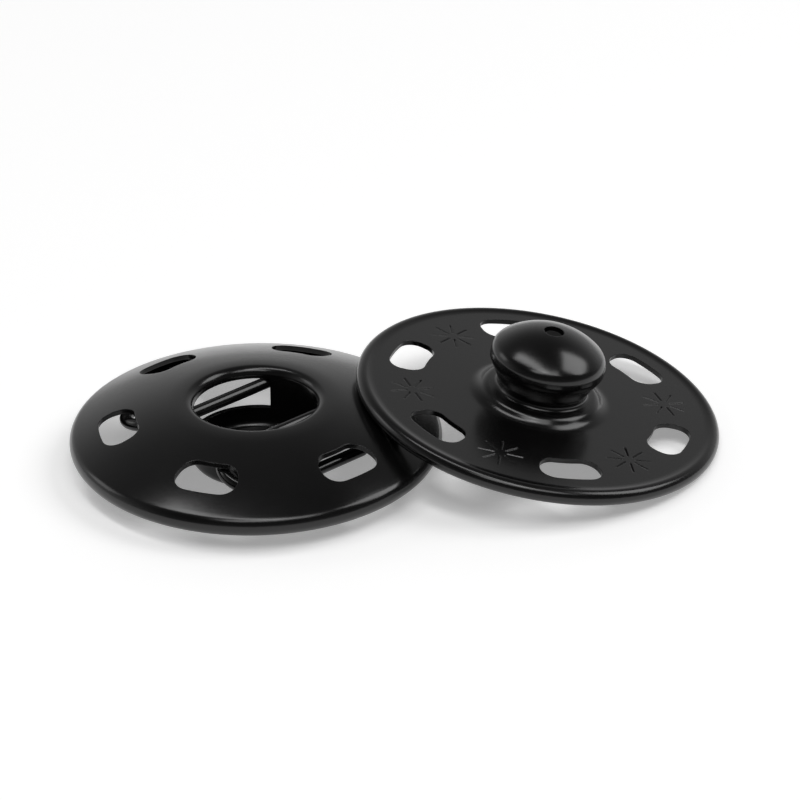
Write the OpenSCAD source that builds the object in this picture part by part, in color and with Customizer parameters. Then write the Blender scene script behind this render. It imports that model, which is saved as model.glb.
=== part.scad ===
// Large sew-on snap fastener: a socket half lying flat and a ball half leaning on it.
// Each half is one stamping of thin sheet, and a bent wire spring lies in the socket half.
// The origin is on the table, under the middle of the socket half. +Y points away from the viewer.

/* [Plates] */
// Diameter of each half over its rolled rim
plate_d = 30; // [28:0.5:34]
// Thickness of the sheet
sheet_t = 0.4; // [0.3:0.02:0.46]
// Number of sewing slots in each half
slot_count = 6; // [4:1:6]
// Distance from a half's edge to the middle of its slots
slot_edge = 3.85; // [3.6:0.05:4.2]
// Length of a sewing slot, round the half
slot_len = 5.3; // [4:0.1:6]
// Width of a sewing slot, along the radius
slot_w = 3.1; // [2.4:0.1:3.4]
// Radius of a slot's corners
slot_corner_r = 1.1; // [0.6:0.05:1.15]

/* [Socket half] */
// Height of the rolled rim
socket_rim_h = 1.8; // [1.5:0.05:2]
// How far the cup reaches below the rim
socket_foot_h = 1.3; // [0.8:0.05:2]
// Slope of the dome where it leaves the rim, in degrees
dome_foot_slope = 26; // [24:0.5:28]
// Slope of the dome where it meets the flat brow round the mouth, in degrees
dome_head_slope = 11; // [9:0.5:13]
// Radius of the brow round the mouth, in section
brow_r = 9; // [7:0.5:11]
// Slope left on the brow where the lip takes over, in degrees
brow_end_slope = 2; // [1:0.5:4]
// Radius of the lip that turns down into the cup, in section
lip_r = 0.85; // [0.7:0.05:0.95]
// How far the socket half's rim is rolled, in degrees
socket_curl = 264; // [250:2:276]
// Clearance round the ball in the cup
cup_clearance = 0.25; // [0.15:0.01:0.35]
// Radius of the cup's bottom corner, in section
cup_corner_r = 0.8; // [0.6:0.05:1]
// Turn of the socket half's slots about its axis, in degrees
socket_turn = 12; // [10:0.5:14]
// Height of a side window's sill above the middle of the rim
sill_h = -0.1; // [-0.4:0.05:0.4]
// Height of a side window's head above the middle of the rim
window_head_h = 2.55; // [2.5:0.02:2.6]
// How far a side window cuts into the root of the lip
window_bite = 0.28; // [0.2:0.02:0.36]

/* [Spring] */
// Diameter of the spring wire
wire_d = 1; // [0.8:0.02:1.06]
// How much narrower the grip between the bars is than the ball's neck
grip_squeeze = 1.4; // [1.2:0.05:1.6]
// Height of the bars above the middle of the rim
bar_h = 2; // [1.95:0.01:2.03]
// Distance from the socket half's edge to the spring's outer legs
leg_edge = 6.15; // [5.95:0.05:6.55]
// How far the outer legs slope down from the bars, in degrees
leg_droop = 12; // [10:0.5:14]
// Gap between the cup and the bends that run round it
bend_gap = 0.3; // [0.2:0.05:0.5]
// Distance from the socket half's edge to the ends of the outer legs
leg_end_edge = 2.6; // [2.3:0.05:3.4]

/* [Ball half] */
// Height of the ball half's rolled rim
ball_rim_h = 1.3; // [1.15:0.05:1.4]
// How far the ball half's rim is rolled, in degrees
ball_curl = 285; // [270:3:291]
// Slope of the short run from the rim down into the dish, in degrees
heel_slope = 45; // [40:1:50]
// Rounding between that run and the dish, in section
heel_r = 1; // [0.8:0.05:1.2]
// How far the ball half's crown stands above the underside of the rim
ball_h = 7.25; // [7:0.05:7.5]
// Diameter of the ball
ball_d = 9.4; // [9.1:0.05:9.6]
// Diameter of the ball's neck
neck_d = 7.3; // [7.1:0.05:7.5]
// Length of the straight band round the ball
band_h = 0.7; // [0.5:0.05:0.9]
// Rounding between the band and the crown, in section
ball_edge_r = 0.9; // [0.7:0.05:1.1]
// Slope of the crown where it meets the edge, in degrees
crown_slope = 26; // [24:0.5:30]
// Slope of the dished plate towards the ball, in degrees
dish_slope = 3; // [2:0.25:4]
// Diameter of the shoulder round the foot of the neck
shoulder_d = 10; // [9.8:0.1:10.4]
// Rounding between the dish and the shoulder's side, in section
root_r = 1; // [0.8:0.05:1.2]
// Lean of the shoulder's side from upright, in degrees
shoulder_draft = 15; // [10:1:20]
// Rounding of the shoulder's top edge, in section
shoulder_r = 0.55; // [0.45:0.05:0.65]
// Slope left on the shoulder where the neck's throat takes over, in degrees
shoulder_fall = 10; // [6:1:14]
// Radius of the throat between the shoulder and the ball, in section
throat_r = 0.7; // [0.6:0.05:0.8]
// Lean of the neck's flare from upright, in degrees
neck_flare = 50; // [46:1:54]
// Diameter of the vent hole in the crown
vent_d = 1.6; // [1.2:0.05:2]
// Turn of the ball half's slots about its own axis, in degrees
ball_turn = -19; // [-22:0.5:-16]

/* [Ball half's place] */
// How far the ball half's left edge reaches in past the socket half's right edge
overlap = 7.3; // [6.5:0.1:7.5]
// Distance of the ball half's middle behind the socket half's
ball_back = 3.4; // [3:0.1:4]
// Direction of its raised edge, in degrees from the right, seen from above
lean_dir = 175; // [172:1:178]
// Clearance between the two halves where one leans on the other
seat_gap = 0.01; // [0.01:0.01:0.05]

/* [Hidden] */

half_t = sheet_t / 2;
edge_fn = 48;
turn_fn = 180;
arc_steps = 7;
slot_arc_steps = 5;
black = [0.07, 0.07, 0.08];
wire_black = [0.12, 0.12, 0.13];

slot_ring_r = plate_d / 2 - slot_edge;

// Levels and radii of the socket half
rim_mid_h = socket_foot_h + socket_rim_h / 2;
cup_r = ball_d / 2 + cup_clearance;
cup_mid_r = cup_r + half_t;

// The dome's arc in section runs from the rolled rim up to the brow
foot_a = 90 - dome_foot_slope;
head_a = 90 - dome_head_slope;
brow_a = 90 - brow_end_slope;
socket_curl_r = socket_rim_h / 2 - half_t;
socket_curl_mid = [plate_d / 2 - socket_rim_h / 2, rim_mid_h];
dome_foot = socket_curl_mid + socket_curl_r * [cos(foot_a), sin(foot_a)];
brow_run = brow_r * (cos(brow_a) - cos(head_a));
lip_run = lip_r * (-1 - cos(brow_a));
dome_r = (cup_mid_r - dome_foot[0] - brow_run - lip_run) / (cos(head_a) - cos(foot_a));
dome_mid = dome_foot - dome_r * [cos(foot_a), sin(foot_a)];

// The spring: its bars stand off the axis, and its bends clear the cup
bar_offset = (neck_d - grip_squeeze + wire_d) / 2;
jamb_gap = 0.03;
bend_clear_r = cup_r + sheet_t + bend_gap + wire_d / 2;
bend_from = round(sqrt(pow(bend_clear_r, 2) - pow(bar_offset, 2)) * 100) / 100;
leg_gap = plate_d / 2 - bar_offset - leg_edge;
leg_end_r = plate_d / 2 - leg_end_edge;
leg_reach = sqrt(pow(leg_end_r, 2) - pow(bar_offset + leg_gap, 2));
leg_run = round((leg_reach - bend_from) * 100) / 100;
bar_angle = socket_turn + 180 / slot_count;

// The ball half rolls on the table on this ring, the middle line of its rim
roll_r = plate_d / 2 - ball_rim_h / 2;
ball_right = plate_d - overlap;
least_tilt = 2;
most_tilt = 25;
tilt_rounds = 16;
contact_turn = 30;

// The cutters of the slots are taller than either plate
slot_cut_h = 9;

// Points along an arc: centre, radius, and first and last angle
function arc(cx, cz, r, a0, a1, steps = arc_steps) =
    [for (i = [0:steps]) let (a = a0 + (a1 - a0) * i / steps) [cx + r * cos(a), cz + r * sin(a)]];

// An arc that starts at a point, so that arcs can be chained
function arc_from(p, r, a0, a1, steps = arc_steps) =
    arc(p[0] - r * cos(a0), p[1] - r * sin(a0), r, a0, a1, steps);

function last(path) = path[len(path) - 1];

function tail(path) = [for (i = [1:len(path) - 1]) path[i]];

function unit(v) = v / norm(v);

// The sheet's two faces, each at half a thickness from the middle line
function face_point(path, i, side) =
    let (
        here = path[i],
        before = i > 0 ? unit(here - path[i - 1]) : unit(path[i + 1] - here),
        after = i < len(path) - 1 ? unit(path[i + 1] - here) : before,
        along = unit(before + after),
        reach = half_t / (along * before)
    )
    [max(here[0] - along[1] * side * reach, 0), here[1] + along[0] * side * reach];

function sheet(path) = concat(
    [for (i = [0:len(path) - 1]) face_point(path, i, 1)],
    [for (i = [len(path) - 1:-1:0]) face_point(path, i, -1)]);

// Middle line of the socket half, from the rolled rim over the dome and the lip to the cup's bottom
function socket_line() =
    let (
        curl = arc(socket_curl_mid[0], socket_curl_mid[1], socket_curl_r, foot_a - socket_curl, foot_a, 16),
        dome = arc_from(last(curl), dome_r, foot_a, head_a, 12),
        brow = arc_from(last(dome), brow_r, head_a, brow_a, 4),
        lip = arc_from(last(brow), lip_r, brow_a, 180, 10),
        corner = arc(cup_mid_r - cup_corner_r, half_t + cup_corner_r, cup_corner_r, 0, -90)
    )
    concat(curl, tail(dome), tail(brow), tail(lip), corner, [[0, half_t]]);

// Middle line of the ball half, from the rolled rim over the dish, the shoulder and the neck to the vent
function ball_line() =
    let (
        curl_r = ball_rim_h / 2 - half_t,
        curl_end = 90 + heel_slope,
        curl = arc(roll_r, ball_rim_h / 2, curl_r, curl_end - ball_curl, curl_end, 16),
        heel = arc_from(last(curl), heel_r, 270 + heel_slope, 270 - dish_slope, 5),
        root_end = 180 + shoulder_draft,
        root_run = root_r * (cos(root_end) - cos(270 - dish_slope)),
        shoulder_x = shoulder_d / 2 - half_t - shoulder_r,
        root_x = shoulder_x + shoulder_r * cos(root_end - 180) - root_run,
        dish_end = [root_x, last(heel)[1] + (last(heel)[0] - root_x) * tan(dish_slope)],
        root = arc_from(dish_end, root_r, 270 - dish_slope, root_end, 5),
        fall_a = 90 - shoulder_fall,
        shoulder = arc_from(last(root), shoulder_r, root_end - 180, fall_a, 5),
        throat_x = neck_d / 2 - half_t + throat_r,
        throat_z = last(shoulder)[1] + throat_r * sin(fall_a),
        throat = arc(throat_x, throat_z, throat_r, 180 + fall_a, 90 + neck_flare, 8),
        ball_mid_r = ball_d / 2 - half_t,
        crown_a = 90 - crown_slope,
        edge_x = ball_mid_r - ball_edge_r,
        crown_r = (edge_x + ball_edge_r * cos(crown_a)) / cos(crown_a),
        edge_z = ball_h - half_t - crown_r + (crown_r - ball_edge_r) * sin(crown_a),
        edge = arc(edge_x, edge_z, ball_edge_r, 0, crown_a, 7),
        band_foot = [ball_mid_r, edge_z - band_h],
        crown = arc(0, ball_h - half_t - crown_r, crown_r, crown_a, acos(0) - asin(vent_d / 2 / crown_r), 8)
    )
    concat(curl, tail(heel), root, tail(shoulder), throat, [band_foot], edge, tail(crown));

// A rounded rectangle bent round the axis, from its length round the axis and its width along the radius
function slot_corner(sx, sy) =
    [for (i = [0:slot_arc_steps])
        let (a = i * 90 / slot_arc_steps + (sx > 0 ? (sy > 0 ? 0 : 270) : (sy > 0 ? 90 : 180)))
        [sx * (slot_len / 2 - slot_corner_r) + slot_corner_r * cos(a),
         sy * (slot_w / 2 - slot_corner_r) + slot_corner_r * sin(a)]];

function bent(p) =
    let (r = slot_ring_r + p[1], a = -p[0] / slot_ring_r * 180 / PI)
    [r * cos(a), r * sin(a)];

module slot_outline() {
    corners = concat(slot_corner(1, 1), slot_corner(-1, 1), slot_corner(-1, -1), slot_corner(1, -1));
    polygon([for (p = corners) bent(p)]);
}

module slots() {
    for (k = [0:slot_count - 1]) {
        rotate([0, 0, 360 / slot_count * k])
            linear_extrude(slot_cut_h) slot_outline();
    }
}

// One side window: the part of the cup's wall that lies beyond the bar
module window() {
    jamb = bar_offset - wire_d / 2 - jamb_gap;
    wall_end = cup_r + sheet_t + window_bite;
    intersection() {
        translate([-cup_r - sheet_t, jamb, rim_mid_h + sill_h])
            cube([2 * (cup_r + sheet_t), cup_r + sheet_t, window_head_h - sill_h]);
        cylinder(r = wall_end, h = rim_mid_h + window_head_h + 1, $fn = turn_fn);
    }
}

module socket_plate() {
    color(black)
    difference() {
        rotate_extrude($fn = turn_fn) polygon(sheet(socket_line()));
        rotate([0, 0, socket_turn]) slots();
        rotate([0, 0, bar_angle]) {
            window();
            rotate([0, 0, 180]) window();
        }
    }
}

// A half ring of the wire about the origin, from +X round to -X
module wire_bend(r, angle = 180) {
    rotate_extrude(angle = angle, $fn = turn_fn) translate([r, 0]) circle(d = wire_d, $fn = edge_fn);
}

module wire_run(length) {
    rotate([0, 90, 0]) cylinder(d = wire_d, h = length, $fn = edge_fn);
}

// A hairpin: one bar with the outer leg that is bent back from its end and slopes down under the dome
module hairpin() {
    translate([-bend_from, bar_offset, 0])
        rotate([-leg_droop, 0, 0])
            union() {
                wire_run(2 * bend_from);
                translate([0, leg_gap / 2, 0]) rotate([0, 0, 90]) wire_bend(leg_gap / 2);
                translate([0, leg_gap, 0]) wire_run(bend_from + leg_run);
                translate([bend_from + leg_run, leg_gap, 0]) sphere(d = wire_d, $fn = edge_fn);
            }
}

module spring_wire() {
    color(wire_black)
    translate([0, 0, rim_mid_h + bar_h])
        rotate([0, 0, bar_angle])
            union() {
                hairpin();
                mirror([0, 1, 0]) hairpin();
                translate([bend_from, 0, 0]) rotate([0, 0, -90]) wire_bend(bar_offset);
            }
}

// A point on the ring when the ball half is tilted: its distance from the socket's axis, and its height
function rim_point(tilt, turn) =
    let (
        out = roll_r * cos(turn) * cos(tilt) - ball_rim_h / 2 * sin(tilt),
        across = roll_r * sin(turn),
        x = ball_right + out * cos(lean_dir) - across * sin(lean_dir),
        y = ball_back + out * sin(lean_dir) + across * cos(lean_dir)
    )
    [norm([x, y]), ball_rim_h / 2 + roll_r * sin(tilt) * (1 + cos(turn))];

// Clearance between the ball half's rim and the socket half's dome at a tilt
function dome_gap(tilt) =
    let (nearest = min([for (turn = [-contact_turn:1:contact_turn]) norm(rim_point(tilt, turn) - dome_mid)]))
    nearest - dome_r - half_t - ball_rim_h / 2;

// The tilt at which the ball half lies on the dome, found by halving
function rest_tilt(low, high, rounds) =
    let (mid = (low + high) / 2)
    rounds < 1 ? high
    : dome_gap(mid) > seat_gap ? rest_tilt(low, mid, rounds - 1)
    : rest_tilt(mid, high, rounds - 1);

// The ball half is turned and tilted about its own middle, and its lowest edge stands on the table
module lean_on_socket() {
    lean = rest_tilt(least_tilt, most_tilt, tilt_rounds);
    lift = roll_r * sin(lean) + ball_rim_h / 2 - ball_rim_h / 2 * cos(lean);
    translate([ball_right, ball_back, lift])
        rotate([0, 0, lean_dir]) rotate([0, -lean, 0]) rotate([0, 0, -lean_dir])
            children();
}

module ball_plate() {
    color(black)
    lean_on_socket()
        difference() {
            rotate_extrude($fn = turn_fn) polygon(sheet(ball_line()));
            rotate([0, 0, ball_turn]) slots();
        }
}

socket_plate();
spring_wire();
ball_plate();
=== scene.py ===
import bpy
import math
from mathutils import Matrix, Vector


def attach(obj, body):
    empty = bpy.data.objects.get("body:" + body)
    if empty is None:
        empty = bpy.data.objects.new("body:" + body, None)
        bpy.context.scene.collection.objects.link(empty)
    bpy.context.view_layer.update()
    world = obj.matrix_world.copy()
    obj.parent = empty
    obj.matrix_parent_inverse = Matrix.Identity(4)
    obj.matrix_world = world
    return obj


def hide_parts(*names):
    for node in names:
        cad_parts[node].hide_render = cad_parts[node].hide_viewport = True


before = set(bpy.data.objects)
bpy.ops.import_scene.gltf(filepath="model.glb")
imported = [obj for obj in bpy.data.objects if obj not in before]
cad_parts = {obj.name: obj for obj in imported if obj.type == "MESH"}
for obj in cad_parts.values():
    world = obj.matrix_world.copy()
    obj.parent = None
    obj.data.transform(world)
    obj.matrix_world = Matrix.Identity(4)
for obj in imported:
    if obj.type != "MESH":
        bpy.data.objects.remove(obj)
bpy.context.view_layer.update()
mm = 0.001


# The socket half: one disc of thin sheet steel, pressed to a low dome with a rolled rim. Its middle is
# drawn down into the cup that takes the ball, and the wall of the cup has a window behind each spring bar.
plate_r = 15.0
sheet_t = 0.4
cup_r = 4.95
socket_foot_h = 1.3
socket_rim_h = 1.8
dome_foot_slope = 26
dome_head_slope = 11
brow_r = 9.0
brow_end_slope = 2
lip_r = 0.5
cup_corner_r = 0.8
socket_curl = 264
socket_turn = 12
bar_turn = 42
bar_offset = 3.45
wire_r = 0.5
sill_h = 2.1
window_head_h = 4.75
window_bite = 0.28
jamb_gap = 0.03
round_steps = 360


def deselect():
    bpy.ops.object.select_all(action="DESELECT")


def keep_only(piece):
    deselect()
    piece.select_set(True)
    bpy.context.view_layer.objects.active = piece


def cos(degrees):
    return math.cos(math.radians(degrees))


def sin(degrees):
    return math.sin(math.radians(degrees))


def arc(middle, radius, first, last, steps):
    """Points on an arc in section, from one angle to another, in degrees."""
    angles = [first + (last - first) * i / steps for i in range(steps + 1)]
    return [(middle[0] + radius * cos(a), middle[1] + radius * sin(a)) for a in angles]


def arc_on(point, radius, first, last, steps):
    """An arc that goes on from a point."""
    middle = (point[0] - radius * cos(first), point[1] - radius * sin(first))
    return arc(middle, radius, first, last, steps)[1:]


def line_on(point, end, steps):
    """A straight run that goes on from a point."""
    return [(point[0] + (end[0] - point[0]) * i / steps, point[1] + (end[1] - point[1]) * i / steps)
            for i in range(1, steps + 1)]


def press_sheet(name, section):
    """Spins the middle line of the sheet into a plate and gives the plate its thickness."""
    deselect()
    bpy.ops.mesh.primitive_plane_add(size=mm)
    piece = bpy.context.object
    piece.name = name
    bpy.ops.object.mode_set(mode="EDIT")
    bpy.ops.mesh.select_mode(type="VERT")
    bpy.ops.mesh.select_all(action="SELECT")
    bpy.ops.mesh.merge(type="CENTER")
    bpy.ops.transform.translate(value=(section[0][0] * mm, 0, section[0][1] * mm))
    for before, here in zip(section, section[1:]):
        step = ((here[0] - before[0]) * mm, 0, (here[1] - before[1]) * mm)
        bpy.ops.mesh.extrude_vertices_move(TRANSFORM_OT_translate={"value": step})
    bpy.ops.mesh.select_all(action="SELECT")
    bpy.ops.mesh.spin(steps=round_steps, angle=2 * math.pi, center=(0, 0, 0), axis=(0, 0, 1))
    bpy.ops.mesh.select_all(action="SELECT")
    bpy.ops.mesh.remove_doubles(threshold=0.001 * mm)
    bpy.ops.mesh.normals_make_consistent(inside=False)
    bpy.ops.object.mode_set(mode="OBJECT")
    wall = piece.modifiers.new("sheet", "SOLIDIFY")
    wall.thickness = sheet_t * mm
    wall.offset = 0
    wall.use_even_offset = True
    keep_only(piece)
    bpy.ops.object.modifier_apply(modifier=wall.name)
    bpy.ops.object.mode_set(mode="EDIT")
    bpy.ops.mesh.select_all(action="SELECT")
    bpy.ops.mesh.normals_make_consistent(inside=False)
    bpy.ops.object.mode_set(mode="OBJECT")
    return piece


def punch(piece, cutter):
    """Cuts a hole with a cutter, which is then thrown away."""
    cut = piece.modifiers.new("punch", "BOOLEAN")
    cut.operation = "DIFFERENCE"
    cut.solver = "EXACT"
    cut.object = cutter
    keep_only(piece)
    bpy.ops.object.modifier_apply(modifier=cut.name)
    bpy.data.objects.remove(cutter)


half_t = sheet_t / 2
foot_a = 90 - dome_foot_slope
head_a = 90 - dome_head_slope
brow_a = 90 - brow_end_slope
rim_mid_h = socket_foot_h + socket_rim_h / 2
cup_mid_r = cup_r + half_t
rim_middle = (plate_r - socket_rim_h / 2, rim_mid_h)
section = arc(rim_middle, socket_rim_h / 2 - half_t, foot_a - socket_curl, foot_a, 30)
brow_run = brow_r * (cos(brow_a) - cos(head_a))
lip_run = lip_r * (-1 - cos(brow_a))
dome_r = (cup_mid_r - section[-1][0] - brow_run - lip_run) / (cos(head_a) - cos(foot_a))
section += arc_on(section[-1], dome_r, foot_a, head_a, 24)
section += arc_on(section[-1], brow_r, head_a, brow_a, 6)
section += arc_on(section[-1], lip_r, brow_a, 180, 14)
cup_corner = arc((cup_mid_r - cup_corner_r, half_t + cup_corner_r), cup_corner_r, 0, -90, 8)
section += line_on(section[-1], cup_corner[0], 10) + cup_corner[1:]
section += line_on(section[-1], (0, half_t), 6)
socket_half = press_sheet("socket_half", section)

for side in (0, 180):
    deselect()
    bpy.ops.mesh.primitive_cylinder_add(vertices=120, radius=(cup_r + sheet_t + window_bite) * mm,
                                        depth=(window_head_h - sill_h) * mm,
                                        location=(0, 0, (window_head_h + sill_h) / 2 * mm))
    window = bpy.context.object
    bpy.ops.object.mode_set(mode="EDIT")
    bpy.ops.mesh.select_all(action="SELECT")
    jamb = (bar_offset - wire_r - jamb_gap) * mm
    bpy.ops.mesh.bisect(plane_co=(0, jamb, 0), plane_no=(0, 1, 0), use_fill=True, clear_inner=True)
    bpy.ops.object.mode_set(mode="OBJECT")
    window.rotation_euler.z = math.radians(bar_turn + side)
    bpy.ops.object.transform_apply(location=True, rotation=True, scale=True)
    punch(socket_half, window)


class Socket:
    """A shader socket that can be written in sums."""

    def __init__(self, tree, out):
        self.tree = tree
        self.out = out

    def node(self, kind, settings, values, out=0):
        """Adds a node, sets it, fills its inputs by name or number and gives one of its outputs."""
        made = self.tree.nodes.new(kind)
        for key, value in settings.items():
            setattr(made, key, value)
        for key, value in values.items():
            if isinstance(value, Socket):
                self.tree.links.new(value.out, made.inputs[key])
            else:
                made.inputs[key].default_value = value
        return Socket(self.tree, made.outputs[out])

    def math(self, operation, other):
        return self.node("ShaderNodeMath", {"operation": operation}, {0: self, 1: other})

    def __add__(self, other):
        return self.math("ADD", other)

    def __mul__(self, other):
        return self.math("MULTIPLY", other)

    __radd__ = __add__
    __rmul__ = __mul__


cloudiness = 0.12
coat_edge_r = 0.09


def lacquer(name, color, roughness, grain):
    """Black lacquer: cloudy gloss, a fine orange peel and edges that the coat has rounded."""
    material = bpy.data.materials.new(name)
    material.use_nodes = True
    tree = material.node_tree
    shader = tree.nodes["Principled BSDF"]
    place = Socket(tree, tree.nodes.new("ShaderNodeTexCoord").outputs["Object"])
    cloud = place.node("ShaderNodeTexNoise", {},
                       {"Vector": place, "Scale": 260.0, "Detail": 4.0, "Roughness": 0.55})
    peel = place.node("ShaderNodeTexNoise", {},
                      {"Vector": place, "Scale": 2600.0, "Detail": 2.0, "Roughness": 0.5})
    shader.inputs["Base Color"].default_value = (*color, 1)
    tree.links.new((cloud * cloudiness + (roughness - cloudiness / 2)).out, shader.inputs["Roughness"])
    soft = place.node("ShaderNodeBevel", {"samples": 6}, {"Radius": coat_edge_r * mm})
    bump = place.node("ShaderNodeBump", {},
                      {"Height": peel, "Distance": grain * mm, "Strength": 0.5, "Normal": soft})
    tree.links.new(bump.out, shader.inputs["Normal"])
    return material


def coat(piece, material):
    piece.data.materials.clear()
    piece.data.materials.append(material)


black = lacquer("black_lacquer", (0.0028, 0.0027, 0.0028), 0.2, 0.004)
coat(socket_half, black)
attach(socket_half, "root")
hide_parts("socket_plate")


# The sewing slots: six in each half, punched through the sheet. Each is a short rounded slot that is bent
# to the round of the plate, and the lacquer softens its edges.
slot_count = 6
slot_edge = 3.85
slot_len = 5.0
slot_w = 2.95
slot_corner_r = 1.3
slot_ring_r = plate_r - slot_edge
slot_corner_steps = 10
slot_bends = 12
smooth_under = 35


def punch_slots(piece, turn):
    """Punches the ring of slots, the first one turned from +X."""
    for k in range(slot_count):
        deselect()
        bpy.ops.mesh.primitive_cube_add(size=1, location=(0, 0, 4 * mm),
                                        scale=(slot_w * mm, slot_len * mm, 10 * mm))
        slot = bpy.context.object
        bpy.ops.object.transform_apply(location=True, rotation=True, scale=True)
        bpy.ops.object.mode_set(mode="EDIT")
        bpy.ops.mesh.select_mode(type="EDGE")
        bpy.ops.mesh.select_all(action="DESELECT")
        bpy.ops.object.mode_set(mode="OBJECT")
        for edge in slot.data.edges:
            low, high = (slot.data.vertices[i].co for i in edge.vertices)
            edge.select = abs(low.z - high.z) > mm
        bpy.ops.object.mode_set(mode="EDIT")
        bpy.ops.mesh.bevel(offset=slot_corner_r * mm, segments=slot_corner_steps, affect="EDGES")
        for i in range(1, slot_bends):
            bpy.ops.mesh.select_all(action="SELECT")
            cut_y = (i / slot_bends - 0.5) * (slot_len - 2 * slot_corner_r) * mm
            bpy.ops.mesh.bisect(plane_co=(0, cut_y, 0), plane_no=(0, 1, 0))
        bpy.ops.object.mode_set(mode="OBJECT")
        for v in slot.data.vertices:
            r = slot_ring_r * mm + v.co.x
            a = v.co.y / (slot_ring_r * mm)
            v.co.x = r * math.cos(a)
            v.co.y = r * math.sin(a)
        slot.rotation_euler.z = math.radians(turn + 360 / slot_count * k)
        bpy.ops.object.transform_apply(location=True, rotation=True, scale=True)
        punch(piece, slot)


punch_slots(socket_half, socket_turn)
keep_only(socket_half)
bpy.ops.object.shade_smooth_by_angle(angle=math.radians(smooth_under))


# The ball half: a second disc of the same sheet, dished, with a low shoulder in its middle from which the
# hollow ball is drawn up on its neck. The ball keeps a small vent hole in its crown.
ball_rim_h = 1.3
ball_curl = 285
heel_slope = 14
heel_r = 2.5
dish_slope = 0.3
root_r = 1.6
shoulder_d = 10.2
shoulder_draft = 42
shoulder_r = 0.7
shoulder_fall = 12
neck_d = 7.3
throat_r = 0.6
neck_flare = 61
ball_d = 9.4
ball_h = 7.4
band_h = 0.45
ball_edge_r = 1.0
crown_slope = 40
vent_d = 1.6
ball_turn = -19
overlap = 7.3
ball_back = 3.4
lean = 10.36
lean_dir = 175

roll_r = plate_r - ball_rim_h / 2
curl_end = 90 + heel_slope
section = arc((roll_r, ball_rim_h / 2), ball_rim_h / 2 - half_t, curl_end - ball_curl, curl_end, 30)
section += arc_on(section[-1], heel_r, 270 + heel_slope, 270 - dish_slope, 8)
root_end = 180 + shoulder_draft
root_run = root_r * (cos(root_end) - cos(270 - dish_slope))
root_x = shoulder_d / 2 - half_t - shoulder_r + shoulder_r * cos(root_end - 180) - root_run
dish_end = (root_x, section[-1][1] + (section[-1][0] - root_x) * math.tan(math.radians(dish_slope)))
section += line_on(section[-1], dish_end, 22)
section += arc_on(section[-1], root_r, 270 - dish_slope, root_end, 12)
fall_a = 90 - shoulder_fall
section += arc_on(section[-1], shoulder_r, root_end - 180, fall_a, 10)
throat_mid = (neck_d / 2 - half_t + throat_r, section[-1][1] + throat_r * sin(fall_a))
section += arc(throat_mid, throat_r, 180 + fall_a, 90 + neck_flare, 14)
crown_a = 90 - crown_slope
edge_x = ball_d / 2 - half_t - ball_edge_r
crown_r = (edge_x + ball_edge_r * cos(crown_a)) / cos(crown_a)
crown_mid_h = ball_h - half_t - crown_r
edge_h = crown_mid_h + (crown_r - ball_edge_r) * sin(crown_a)
section += line_on(section[-1], (ball_d / 2 - half_t, edge_h - band_h), 5)
section += line_on(section[-1], (ball_d / 2 - half_t, edge_h), 2)
section += arc_on(section[-1], ball_edge_r, 0, crown_a, 12)
vent_a = 90 - math.degrees(math.asin(vent_d / 2 / crown_r))
section += arc_on(section[-1], crown_r, crown_a, vent_a, 14)
dish_top = dish_end[1] + half_t
ball_half = press_sheet("ball_half", section)
punch_slots(ball_half, ball_turn)


# The marks: six plain starbursts, one between each two slots. Each is eight short strokes that are
# pressed into the sheet as shallow grooves.
mark_ring_r = 10.65
mark_rays = 8
ray_from = 0.5
ray_to = 1.85
ray_w = 0.17
star_twist = 12

deselect()
rays = []
for k in range(slot_count):
    star_turn = ball_turn + 180 / slot_count + 360 / slot_count * k
    star = Vector((mark_ring_r * cos(star_turn), mark_ring_r * sin(star_turn), dish_top)) * mm
    for j in range(mark_rays):
        ray_turn = math.radians(star_turn + star_twist + 360 / mark_rays * j)
        out = Vector((math.cos(ray_turn), math.sin(ray_turn), 0)) * (ray_from + ray_to) / 2 * mm
        bpy.ops.mesh.primitive_cube_add(size=1, location=star + out, rotation=(math.pi / 4, 0, ray_turn),
                                        scale=((ray_to - ray_from) * mm, ray_w * mm, ray_w * mm))
        rays.append(bpy.context.object)
deselect()
for ray in rays:
    ray.select_set(True)
bpy.context.view_layer.objects.active = rays[0]
bpy.ops.object.join()
bpy.ops.object.transform_apply(location=True, rotation=True, scale=True)
punch(ball_half, rays[0])

# The ball half's place: one edge of it stands on the table, and it leans on the socket half's dome.
lift = roll_r * sin(lean) + ball_rim_h / 2 * (1 - cos(lean))
place = Vector((2 * plate_r - overlap, ball_back, lift)) * mm
tilt = (Matrix.Rotation(math.radians(lean_dir), 4, "Z") @ Matrix.Rotation(math.radians(-lean), 4, "Y")
        @ Matrix.Rotation(math.radians(-lean_dir), 4, "Z"))
ball_half.matrix_world = Matrix.Translation(place) @ tilt
keep_only(ball_half)
bpy.ops.object.transform_apply(location=True, rotation=True, scale=True)
bpy.ops.object.shade_smooth_by_angle(angle=math.radians(smooth_under))
coat(ball_half, black)
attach(ball_half, "root")
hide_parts("ball_plate")


# The spring: one length of round steel wire, bent so that its two bars cross the cup. Its shape is the
# model's own, and it gets a glossier finish than the pressed halves.
wire_black = lacquer("wire_black", (0.004, 0.004, 0.004), 0.16, 0.002)
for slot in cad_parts["spring_wire"].material_slots:
    slot.material = wire_black


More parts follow.
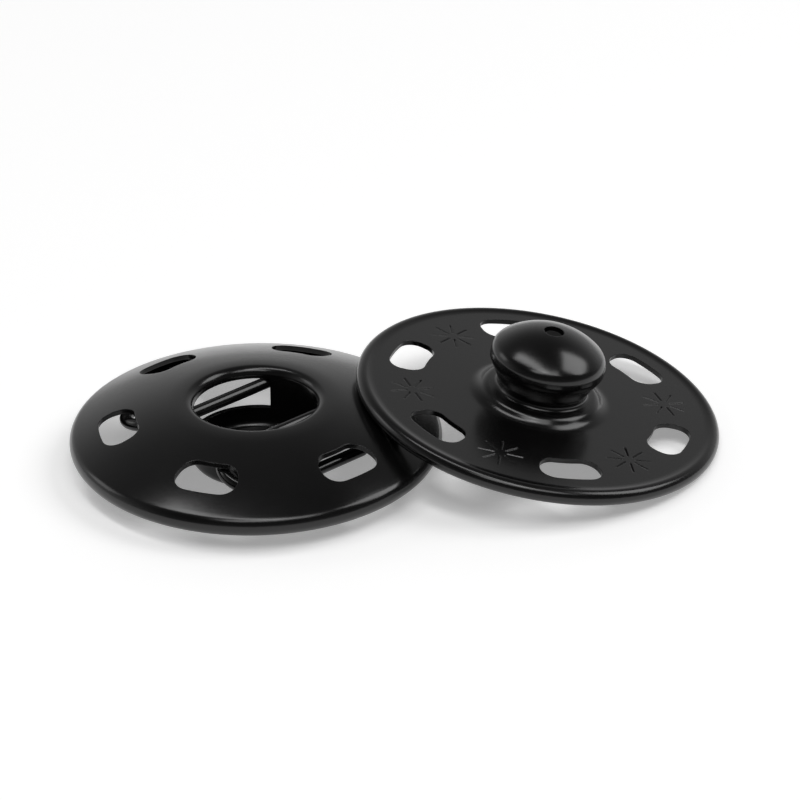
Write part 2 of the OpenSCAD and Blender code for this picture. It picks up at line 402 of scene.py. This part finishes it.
# The table: a plain white sheet that runs out of view. The camera and what mirrors it see it a little
# lifted, so that it ends white and keeps the shadows.
deselect()
bpy.ops.mesh.primitive_plane_add(size=6)
table = bpy.context.object
table.name = "table"
table_lift = 0.3
white = bpy.data.materials.new("white_table")
white.use_nodes = True
tree = white.node_tree
shader = tree.nodes["Principled BSDF"]
shader.inputs["Base Color"].default_value = (0.96, 0.96, 0.96, 1)
shader.inputs["Roughness"].default_value = 0.6
shader.inputs["Emission Strength"].default_value = table_lift
path = tree.nodes.new("ShaderNodeLightPath")
seen = Socket(tree, path.outputs["Is Camera Ray"]) + Socket(tree, path.outputs["Is Glossy Ray"])
seen = seen + Socket(tree, path.outputs["Is Transmission Ray"])
tree.links.new(seen.out, shader.inputs["Emission Color"])
coat(table, white)


# The light: soft boxes overhead, in front, to the right and, weaker, to the left, in a room that is
# white low down at the back and dark in front and overhead.
for name, spot, wide, deep, bright in (("overhead", (-0.1, -0.09, 0.8), 0.8, 0.15, 4.5),
                                       ("front", (0.1, -0.45, 0.8), 0.7, 0.3, 3.0),
                                       ("right", (0.6, 0.1, 0.62), 0.45, 0.45, 3.6),
                                       ("left", (-0.8, 0.25, 0.42), 0.35, 0.3, 1.2)):
    deselect()
    bpy.ops.object.light_add(type="AREA", location=spot)
    box = bpy.context.object
    box.name = name
    box.data.shape = "RECTANGLE"
    box.data.size = wide
    box.data.size_y = deep
    box.data.energy = bright * math.pi * wide * deep
    box.rotation_euler = (-box.location).to_track_quat("-Z", "Y").to_euler()

world = bpy.data.worlds.new("surround")
bpy.context.scene.world = world
world.use_nodes = True
tree = world.node_tree
back = tree.nodes["Background"]
toward = Socket(tree, tree.nodes.new("ShaderNodeTexCoord").outputs["Generated"])
aside, behind, height = (toward.node("ShaderNodeSeparateXYZ", {}, {"Vector": toward}, i) for i in range(3))
low = height.node("ShaderNodeMapRange", {"interpolation_type": "SMOOTHSTEP"},
                  {"Value": height, "From Min": 0.1, "From Max": 0.85, "To Min": 1.0, "To Max": 0.22})
rear = behind.node("ShaderNodeMapRange", {"interpolation_type": "SMOOTHSTEP"},
                   {"Value": behind + aside * -0.45, "From Min": -0.35, "From Max": 0.65,
                    "To Min": 0.12, "To Max": 0.6})
back.inputs["Color"].default_value = (1, 1, 1, 1)
tree.links.new((low * rear).out, back.inputs["Strength"])


# The camera: far back with a long lens, looking down on the two halves as the photo does.
camera_e = 28.5
camera_roll = 0.24
camera_far = 300.0
target = Vector((11.6, 5.86, 2.2)) * mm
deselect()
bpy.ops.object.camera_add()
camera = bpy.context.object
camera.data.lens = 164.7
camera.data.sensor_width = 36.0
camera.data.clip_start = 0.01
camera.location = target - Vector((0, cos(camera_e), -sin(camera_e))) * camera_far * mm
camera.rotation_euler = (math.radians(90 - camera_e), 0, 0)
bpy.context.view_layer.update()
rolled = camera.matrix_world.to_3x3() @ Matrix.Rotation(math.radians(-camera_roll), 3, "Z")
camera.rotation_euler = rolled.to_euler()
bpy.context.scene.camera = camera
bpy.context.scene.view_settings.view_transform = "Standard"
